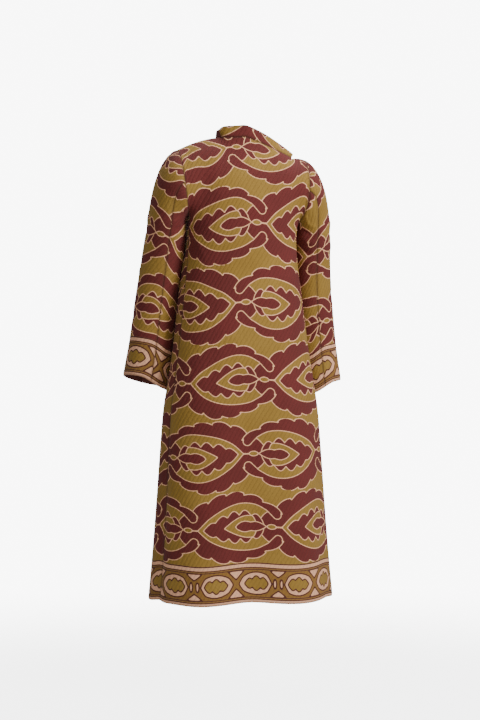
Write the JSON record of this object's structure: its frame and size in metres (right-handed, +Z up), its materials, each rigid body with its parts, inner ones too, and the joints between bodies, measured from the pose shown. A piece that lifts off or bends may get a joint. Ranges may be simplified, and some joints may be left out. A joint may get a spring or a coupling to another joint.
{
  "type": "quilted coat",
  "caption": "Long open-fronted quilted coat with straight sleeves and a standing collar band, in its worn form with no wearer, hollow and open at neck, hem and cuffs.",
  "frame": {"origin": "where the wearer's shoulders carry the coat: on the mid plane, level with the base of the neck", "axes": "+Z up along the coat, -Y the open front, +X the wearer's left"},
  "size_m": [0.635, 0.3577, 1.317],
  "materials": {
    "figured_cloth": "quilted cotton, matte, woven in crimson and ochre",
    "band_cloth": "plain cotton strip, matte crimson"
  },
  "bodies": {
    "root": {"back": "figured_cloth", "front_left": "figured_cloth", "front_right": "figured_cloth", "front_band_left": "band_cloth", "front_band_right": "band_cloth", "collar": "figured_cloth", "sleeve_left_top": "figured_cloth", "sleeve_left_under": "figured_cloth", "sleeve_right_top": "figured_cloth", "sleeve_right_under": "figured_cloth"}
  },
  "joints": []
}
